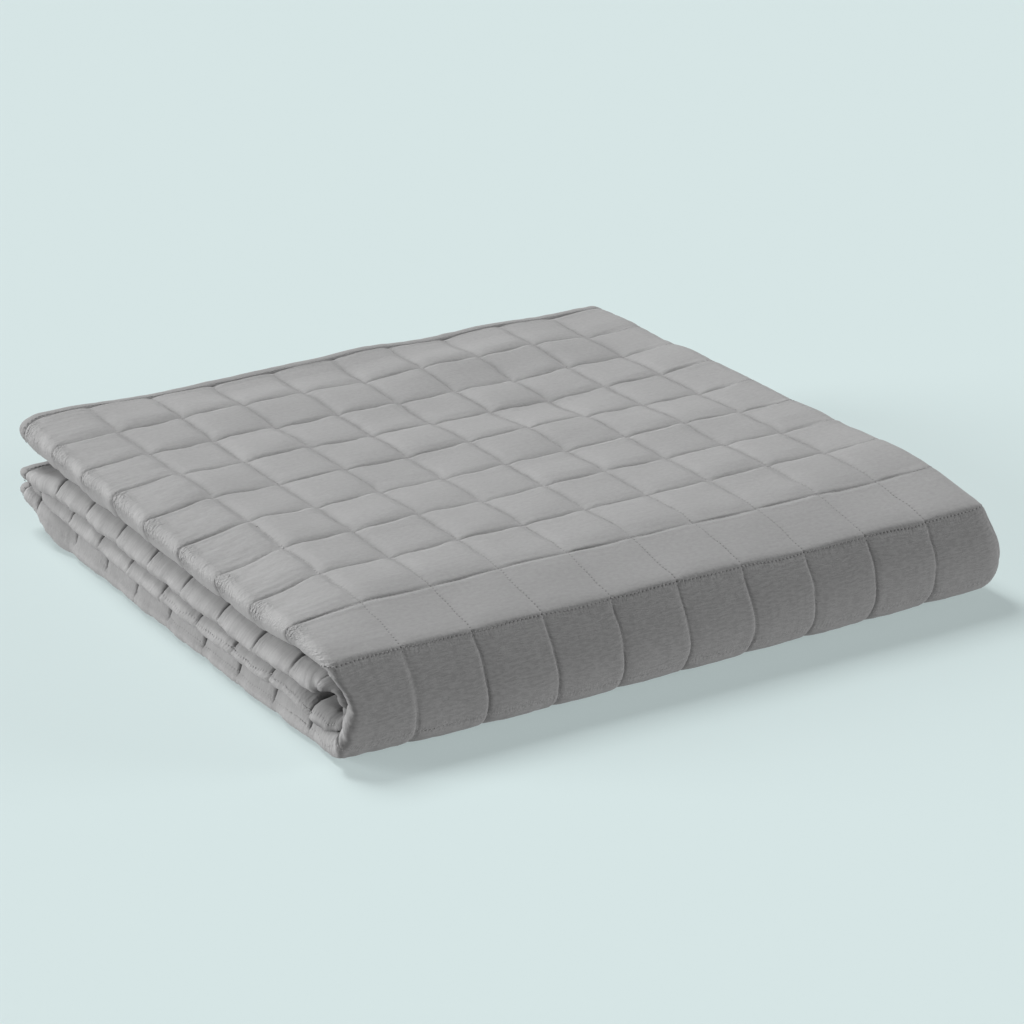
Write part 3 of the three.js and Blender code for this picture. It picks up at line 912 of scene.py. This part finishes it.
def rising(value, start, end):
    """Eased from 0 at the start to 1 at the end."""
    inputs = {"Value": value.socket, "From Min": start, "From Max": end}
    made = node(value.tree, "ShaderNodeMapRange", inputs, interpolation_type="SMOOTHSTEP")
    return Value(value.tree, made.outputs["Result"])


def either(share, when_none, when_all):
    """A value between two others, by a share from 0 to 1."""
    return (1.0 - share) * when_none + share * when_all


def from_left_fold(column):
    """How many columns away the nearer left fold is."""
    return (column - OUTER_FOLD).put("PINGPONG", FOLD_SPACING)


def cloth_uv(tree):
    return node(tree, "ShaderNodeUVMap", uv_map="cloth").outputs["UV"]


def cloth_grid(tree):
    """The stitched grid's column and row at a point of the cloth."""
    split = node(tree, "ShaderNodeSeparateXYZ", {"Vector": cloth_uv(tree)})
    return [Value(tree, split.outputs[axis]) * (METRE / SQUARE) for axis in "XY"]


def stretched_noise(tree, across, along, detail=3.0, roughness=0.55):
    """Noise on the cloth, with so many features a metre each way."""
    scaled = node(tree, "ShaderNodeMapping", {"Vector": cloth_uv(tree), "Scale": (across, along, 1.0)})
    inputs = {"Vector": scaled.outputs["Vector"], "Scale": 1.0, "Detail": detail, "Roughness": roughness}
    return Value(tree, node(tree, "ShaderNodeTexNoise", inputs).outputs["Fac"])


def weave(tree):
    """Crossed threads: two wave bands, added."""
    inputs = {"Vector": cloth_uv(tree), "Scale": WEAVE_SCALE, "Distortion": 0.6, "Detail": 1.0}
    bands = []
    for direction in "XY":
        band = node(tree, "ShaderNodeTexWave", inputs, wave_type="BANDS", bands_direction=direction)
        bands.append(Value(tree, band.outputs["Fac"]))
    return bands[0] + bands[1]


def bump(height, distance, before=None):
    inputs = {"Strength": 1.0, "Distance": distance, "Height": height.socket}
    if before:
        inputs["Normal"] = before
    return node(height.tree, "ShaderNodeBump", inputs).outputs["Normal"]


def between_greys(factor, low, high, start=0.3, end=0.7):
    ramp = node(factor.tree, "ShaderNodeValToRGB", {"Fac": factor.socket})
    for element, position, grey in zip(ramp.color_ramp.elements, (start, end), (low, high)):
        element.position = position
        element.color = (grey, grey, grey, 1.0)
    return ramp.outputs["Color"]


def multiplied(tree, first, second):
    inputs = {0: 1.0, 6: first, 7: second}
    return node(tree, "ShaderNodeMix", inputs, data_type="RGBA", blend_type="MULTIPLY").outputs[2]


# Greys and colours, and the cloth's fine detail: heights are in metres, and reaches are shares of a square
CLOTH = 0.352
BINDING = 0.295
THREAD = 0.39
FLOOR = (0.37, 0.43, 0.43, 1.0)
FLOOR_GLOW = (0.30, 0.35, 0.35, 1.0)
SOFT = {"Specular IOR Level": 0.2, "Sheen Roughness": 0.6}
WEAVE_SCALE = 55.0
WEAVE_HEIGHT = 0.00004
CLOTH_CRINKLE = 0.00014
BINDING_CRINKLE = 0.00012
PINCH_HEIGHT = 0.00004
GATHER_HEIGHT = 0.0006
PUCKER_HEIGHT = 0.0045
THREAD_HEIGHT = 0.0001
PINCH_REACH = 0.07
GATHER_REACH = 0.13
PUCKER_REACH = 0.2
PATCH_REACH = 0.5
PATCH_SHARE = 0.75
LOWER_PUCKERS = 0.2
FRONT_HALF = 0.85
FRONT_GRAIN = 5.0
FOLD_SPACING = 10.0
CALM_MIDDLE = FRONT_MIDDLE + 0.1
CALM_REACH = 1.0

# Painted shade in the needle holes along the stitched lines
HOLE = 0.016
TOP_HOLES = {"reach": 2.0, "tone": 0.8, "least": 0.03, "to": FRONT_SEAM + 0.05}
FOLD_HOLES = {"row": FRONT_SEAM + 3.5, "reach": 2.5, "tone": 0.4, "beside": 0.4}
ROW_HOLES = {"reach": 0.5, "tone": 0.5, "least": 0.25, "from": 0.5}

# Painted shade in the notches of the lower left folds, and thin lines of painted shade down the side of the
# upper one
NOTCH_SHADE_SHARE = 0.97
DARK_WIDTH = 0.075
DARK_LEAST = 0.6
DARK_SIDES = 2.0
DARK_UPPER = (-0.07, 0.02)
DARK_WIDER = (-0.05, 0.14)
THIN_SHADE_SHARE = 0.7
THIN_WIDTH = 0.024
THIN_MIDDLE = -0.1
THIN_REACH = 0.14
SHADED_ROWS = (0.5, LAST_LINE + 0.2)

# Painted shade on the parts deep between the layers, and round the rolled front corner
DEEP_SHADE_TONE = 0.35
DEEP_FROM_FOLD = (0.3, 0.65)
SHOWN_TO = RIGHT_FOLD + 1.0
BAND_SHADE_TONE = 0.68
BAND_REACH = 0.8
BAND_ROWS = (9.0, 9.3, 10.3, 10.7)
ROLL_SHADE_TONE = 0.1
ROLL_REACH = 2.0
ROLL_FROM_FOLD = (0.05, 0.16)
ROLL_ROWS = (8.5, 9.0, 10.5, 10.9)
GAP_SHADE_TONE = 0.25
GAP_ROWS = (9.9, 10.1)
GAP_LAST_ROW = 10.9
GAP_UNDER_INNER = (0.02, 0.08)
GAP_OVER_OUTER = (0.06, 0.14)


def rising_span(value, span):
    """The same as spanned, in a shader."""
    start, full, last, end = span
    return rising(value, start, full) * (1.0 - rising(value, last, end))


def grain(row, detail):
    """Fine even unevenness, drawn out across the sheet on its front."""
    on_front = within(row, FRONT_SEAM + FRONT_HALF, FRONT_HALF)
    even_grain = stretched_noise(row.tree, 280.0, 560.0, detail=detail)
    drawn_out = stretched_noise(row.tree, 150.0, 700.0, detail=4.0, roughness=0.65)
    return either(on_front, even_grain, drawn_out * FRONT_GRAIN + (0.5 - 0.5 * FRONT_GRAIN))


def calm_end(column, row):
    """0 where the inner fold is bunched up behind the front, and 1 elsewhere."""
    return 1.0 - within(column, INNER_FOLD, CALM_REACH) * within(row, CALM_MIDDLE, CALM_REACH)


def pinched(column, row):
    """A height that ripples beside the columns, where each stitch draws the cloth together."""
    ripple = (row * (2.0 * math.pi * STITCHES)).put("SINE")
    return ripple * fading(to_nearest(column), PINCH_REACH)


def gathered(column, row):
    """A height that is crumpled beside the rows of stitches."""
    crumple = stretched_noise(row.tree, 620.0, 300.0, detail=1.0)
    return crumple * fading(to_nearest(row), GATHER_REACH) * calm_end(column, row)


def puckered(column, row):
    """A height that is crumpled along the folds, most of all just ahead of each row of stitches."""
    patch = fading(row.put("FRACT"), PATCH_REACH)
    strength = fading(from_left_fold(column), PUCKER_REACH)
    strength = strength * (patch * PATCH_SHARE + (1.0 - PATCH_SHARE))
    upper_fold = (column < RIGHT_FOLD) * (row < FRONT_SEAM)
    strength = strength * either(upper_fold, LOWER_PUCKERS, 1.0)
    return stretched_noise(row.tree, 560.0, 560.0, detail=2.0) * strength * calm_end(column, row)


def holes(line, along, first):
    """1 where the needle went through on stitched lines, and 0 elsewhere."""
    ends = along * STITCHES + (0.5 - first * STITCHES)
    beside = to_nearest(line) / HOLE
    between = to_nearest(ends) / (HOLE * STITCHES)
    return fading((beside * beside + between * between).put("SQRT"), 1.0)


def needle_hole_shade(column, row):
    """Painted shade in the needle holes along the stitched lines, darkest near the front."""
    to_front = fading(abs(row - FRONT_SEAM), TOP_HOLES["reach"])
    top_tone = (to_front * TOP_HOLES["tone"] + TOP_HOLES["least"]) * (row < TOP_HOLES["to"])
    fold_tone = within(row, FOLD_HOLES["row"], FOLD_HOLES["reach"]) * FOLD_HOLES["tone"]
    column_tone = either(from_left_fold(column) < FOLD_HOLES["beside"], top_tone, fold_tone)
    row_tone = within(row, FRONT_SEAM, ROW_HOLES["reach"]) * ROW_HOLES["tone"] + ROW_HOLES["least"]
    row_tone = row_tone * (row > ROW_HOLES["from"])
    # painted shade: dark dots in the needle holes of the columns and the rows
    shade = holes(column, row, FIRST_STITCH) * column_tone
    return 1.0 - (shade + holes(row, column, SHOWN_ACROSS[0][0]) * row_tone)


def notch_shade(column, row):
    """Painted shade in the notches of the left folds, mostly on the upper half of each face, and thin lines
    of it down the side of the upper fold.
    """
    below = row > FRONT_MIDDLE
    upper = (column - OUTER_FOLD).put("WRAP", FOLD_SPACING, -FOLD_SPACING) * (below * -2.0 + 1.0)
    behind = (row - row.put("ROUND")) * (below * 2.0 - 1.0)
    apart = behind.put("MAXIMUM", behind * -DARK_SIDES)
    width = (rising(upper, *DARK_WIDER) + DARK_LEAST) * DARK_WIDTH
    # painted shade: a dark wedge behind each row seam in the notches of the lower folds
    deep = fading(apart, width) * rising(upper, *DARK_UPPER) * NOTCH_SHADE_SHARE
    on_side = within(upper, THIN_MIDDLE, THIN_REACH)
    thin = fading(to_nearest(row), THIN_WIDTH) * on_side * THIN_SHADE_SHARE
    lower_fold = (column > RIGHT_FOLD).put("MAXIMUM", below)
    first, last = SHADED_ROWS
    sewn = (row > first) * (row < last)
    # painted shade: darkens the cloth's colour in the notches and along the thin lines
    return 1.0 - either(lower_fold, thin, deep) * calm_end(column, row) * sewn


def deep_shade(column, row):
    """Painted shade on the parts of the cloth that lie deep between the layers, on the band and inside the
    roll at the front corner, and in the gap between the folds there.
    """
    shown = (column > OUTER_FOLD) * (column < SHOWN_TO)
    hidden = rising(from_left_fold(column), *DEEP_FROM_FOLD) * (1.0 - shown)
    band = within(column, INNER_FOLD, BAND_REACH) * rising_span(row, BAND_ROWS)
    in_roll = rising(INNER_FOLD - column, *ROLL_FROM_FOLD) * within(column, INNER_FOLD, ROLL_REACH)
    in_roll = in_roll * rising_span(row, ROLL_ROWS)
    in_gap = rising(column - INNER_FOLD, *GAP_UNDER_INNER)
    in_gap = in_gap.put("MAXIMUM", rising(OUTER_FOLD - column, *GAP_OVER_OUTER))
    in_gap = in_gap * rising(row, *GAP_ROWS) * (row < GAP_LAST_ROW)
    # painted shade: these tones darken the cloth's colour where the layers keep the light off it
    tone = either(hidden, 1.0, DEEP_SHADE_TONE) * either(band, 1.0, BAND_SHADE_TONE)
    return tone * either(in_gap, 1.0, GAP_SHADE_TONE) * either(in_roll, 1.0, ROLL_SHADE_TONE)


def material(name):
    made = bpy.data.materials.new(name)
    made.use_nodes = True
    return made, made.node_tree


def shaded(made, inputs):
    """A material with its own shader's inputs set."""
    set_inputs(made.node_tree, made.node_tree.nodes["Principled BSDF"], inputs)
    return made


def cloth_material(name, grey, crinkle):
    """Matt cloth with a fine grain, uneven in tone, with painted shade in its needle holes, its notches and
    deep between the layers.
    """
    made, tree = material(name)
    column, row = cloth_grid(tree)
    tone = between_greys(grain(row, 3.0), 0.94 * grey, 1.06 * grey)
    cloudy = stretched_noise(tree, 14.0, 14.0, detail=2.0)
    patch = between_greys(cloudy, 0.97, 1.0)
    # painted shade: the needle holes, the notches and the parts deep between the layers are darkened in the
    # colour
    shade = needle_hole_shade(column, row) * notch_shade(column, row) * deep_shade(column, row)
    tone = multiplied(tree, multiplied(tree, tone, patch), shade.socket)
    normal = bump(weave(tree), WEAVE_HEIGHT)
    normal = bump(grain(row, 4.0) * calm_end(column, row), crinkle, normal)
    normal = bump(pinched(column, row), PINCH_HEIGHT, normal)
    normal = bump(gathered(column, row), GATHER_HEIGHT, normal)
    normal = bump(puckered(column, row), PUCKER_HEIGHT, normal)
    matt = {"Roughness": 0.92, "Sheen Weight": 0.12, **SOFT}
    return shaded(made, {"Base Color": tone, "Normal": normal, **matt})


def thread_material(name, grey):
    """Flecked thread with a fine uneven surface."""
    made, tree = material(name)
    fleck = stretched_noise(tree, 300.0, 300.0)
    tone = between_greys(fleck, 0.85 * grey, 1.1 * grey)
    normal = bump(stretched_noise(tree, 1800.0, 1800.0), THREAD_HEIGHT)
    matt = {"Roughness": 0.75, "Sheen Weight": 0.1, **SOFT}
    return shaded(made, {"Base Color": tone, "Normal": normal, **matt})


def floor_material():
    glow = {"Emission Color": FLOOR_GLOW, "Emission Strength": 1.0}
    matt = {"Roughness": 0.9, "Specular IOR Level": 0.0}
    return shaded(material("floor")[0], {"Base Color": FLOOR, **glow, **matt})


# The object's pieces
sheet = quilt()
beside = HALF_STRIP + SIDE_STRIP_GAP
bindings = {
    "binding_top_end": end_binding("top_end_strip", FIRST_SEAM - HALF_STRIP, seed=51),
    "binding_bottom_end": end_binding("bottom_end_strip", LAST_SEAM + HALF_STRIP, seed=61),
    "binding_outer_side": side_binding("outer_side_strip", OUTER_EDGE - beside),
    "binding_inner_side": side_binding("inner_side_strip", INNER_EDGE + beside),
}
sewing = [row_stitches(), column_stitches(), binding_stitches()]

sheet.data.materials.append(cloth_material("quilted_cloth", CLOTH, CLOTH_CRINKLE))
binding_cloth = cloth_material("binding_cloth", BINDING, BINDING_CRINKLE)
thread = thread_material("thread", THREAD)

for piece in [sheet, *bindings.values(), *sewing]:
    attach(piece, "root")
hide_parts("quilt")
for name, strip in bindings.items():
    strip.data.materials.append(binding_cloth)
    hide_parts(name)
for piece in sewing:
    piece.data.materials.append(thread)

# Floor, light and camera: a sun has a name, a direction, a strength and a spread in degrees
FLOOR_SIZE = 60.0
FLOOR_LEVEL = -0.0003
SUNS = [
    ("key", (-0.10, 0.60, 0.80), 2.35, 25.0),
    ("side", (-0.85, 0.50, 0.22), 2.75, 25.0),
    ("fill", (0.85, -0.50, 0.15), 1.75, 30.0),
]
LIGHT_ABOVE = 0.13
LIGHT_BELOW = 0.46
CAMERA_AT = Vector((-1.0062, -1.6277, 0.8077))
CAMERA_AZIMUTH = math.radians(-32.12)
CAMERA_ELEVATION = math.radians(21.94)
CAMERA_LENS = 103.29
CAMERA_SENSOR = 36.0
CAMERA_SIGHT = 100.0

bpy.ops.mesh.primitive_plane_add(size=FLOOR_SIZE, location=(0.0, 0.0, FLOOR_LEVEL))
floor = bpy.context.object
floor.name = "floor"
floor.data.materials.append(floor_material())
floor.visible_diffuse = False


def sun(name, toward, strength, spread):
    """A soft far light: toward points from the object to the light."""
    light = bpy.data.lights.new(name, "SUN")
    light.energy = strength
    light.angle = math.radians(spread)
    lamp = bpy.data.objects.new(name, light)
    lamp.rotation_euler = Vector(toward).to_track_quat("Z", "Y").to_euler()
    bpy.context.scene.collection.objects.link(lamp)


def studio():
    """Even light from all round, stronger from below, as from a pale table."""
    world = bpy.data.worlds.new("studio")
    world.use_nodes = True
    tree = world.node_tree
    around = node(tree, "ShaderNodeTexCoord").outputs["Generated"]
    split = node(tree, "ShaderNodeSeparateXYZ", {"Vector": around})
    height = Value(tree, split.outputs["Z"]) * 0.5 + 0.5
    colour = between_greys(height, LIGHT_BELOW, LIGHT_ABOVE, 0.4, 0.6)
    set_inputs(tree, tree.nodes["Background"], {"Color": colour})
    bpy.context.scene.world = world


def camera():
    data = bpy.data.cameras.new("camera")
    data.lens = CAMERA_LENS
    data.sensor_width = CAMERA_SENSOR
    data.clip_end = CAMERA_SIGHT
    made = bpy.data.objects.new("camera", data)
    turned = Euler((math.pi / 2.0 - CAMERA_ELEVATION, 0.0, CAMERA_AZIMUTH))
    made.matrix_world = Matrix.LocRotScale(CAMERA_AT, turned, None)
    bpy.context.scene.collection.objects.link(made)
    bpy.context.scene.camera = made


for light in SUNS:
    sun(*light)
studio()
bpy.context.scene.view_settings.view_transform = "Standard"
camera()
